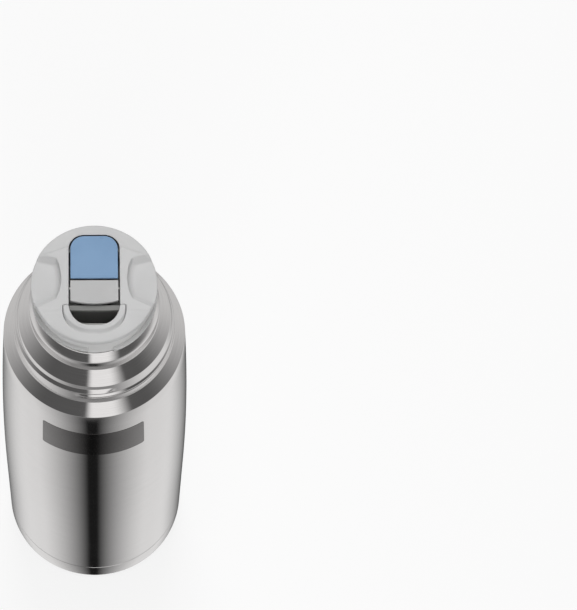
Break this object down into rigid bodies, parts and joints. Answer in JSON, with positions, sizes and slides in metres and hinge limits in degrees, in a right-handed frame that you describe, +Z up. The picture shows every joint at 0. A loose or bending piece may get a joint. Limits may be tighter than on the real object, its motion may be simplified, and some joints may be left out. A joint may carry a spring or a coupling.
{
  "type": "vacuum flask",
  "caption": "Slim stainless steel vacuum flask with a stepped neck, and a screw-in plastic stopper with pour spout, push button valve and release tab.",
  "frame": {"origin": "centre of the base, on the surface that the flask stands on", "axes": "+Z up along the flask's axis, the spout points to -Y, +X to the right as seen from the spout's side"},
  "size_m": [0.085, 0.085, 0.2858],
  "materials": {
    "shell_steel": "satin stainless steel",
    "inner_steel": "plain stainless steel",
    "grey_plastic": "moulded light grey plastic",
    "core_plastic": "moulded grey plastic",
    "blue_plastic": "moulded light blue plastic",
    "dark_plastic": "moulded black plastic",
    "silicone": "silicone rubber"
  },
  "bodies": {
    "flask": {"outer_shell": "shell_steel", "base_cap": "shell_steel", "inner_vessel": "inner_steel", "getter": "inner_steel", "vacuum_seal": "inner_steel"},
    "gasket": {"neck_gasket": "silicone"},
    "stopper": {"stopper_head": "grey_plastic", "thread_collar": "grey_plastic", "stopper_core": "core_plastic", "stem_guide": "core_plastic", "stem_seal": "silicone", "spout_liner": "dark_plastic", "spout_lip": "grey_plastic", "tab_pin": "inner_steel", "valve_spring": "inner_steel"},
    "button": {"push_button": "blue_plastic", "button_carrier": "core_plastic", "valve_stem": "inner_steel", "valve_plate": "core_plastic", "valve_seal": "silicone", "stem_clip": "inner_steel"},
    "tab": {"release_tab": "grey_plastic"}
  },
  "joints": [
    {"name": "stopper_rise", "type": "slide", "parent": "flask", "child": "gasket", "axis": [0, 0, 1], "range_m": [0, 0.0112]},
    {"name": "stopper_turn", "type": "hinge", "parent": "gasket", "child": "stopper", "pos_m": [0, 0, 0.27], "axis": [0, 0, 1], "range_deg": [0, 330]},
    {"name": "button_press", "type": "slide", "parent": "stopper", "child": "button", "axis": [0, 0, -1], "range_m": [0, 0.004], "stiffness_N_per_m": 1500, "springref_m": -0.004, "deforming": ["valve_spring"]},
    {"name": "tab_release", "type": "hinge", "parent": "stopper", "child": "tab", "pos_m": [0, -0.0012, 0.2815], "axis": [1, 0, 0], "range_deg": [0, 7], "stiffness_Nm_per_rad": 0.15, "springref_deg": -3.44}
  ],
  "couplings": [
    {"joint": "stopper_rise", "follows": "stopper_turn", "m_per_rad": 0.0019099}
  ]
}
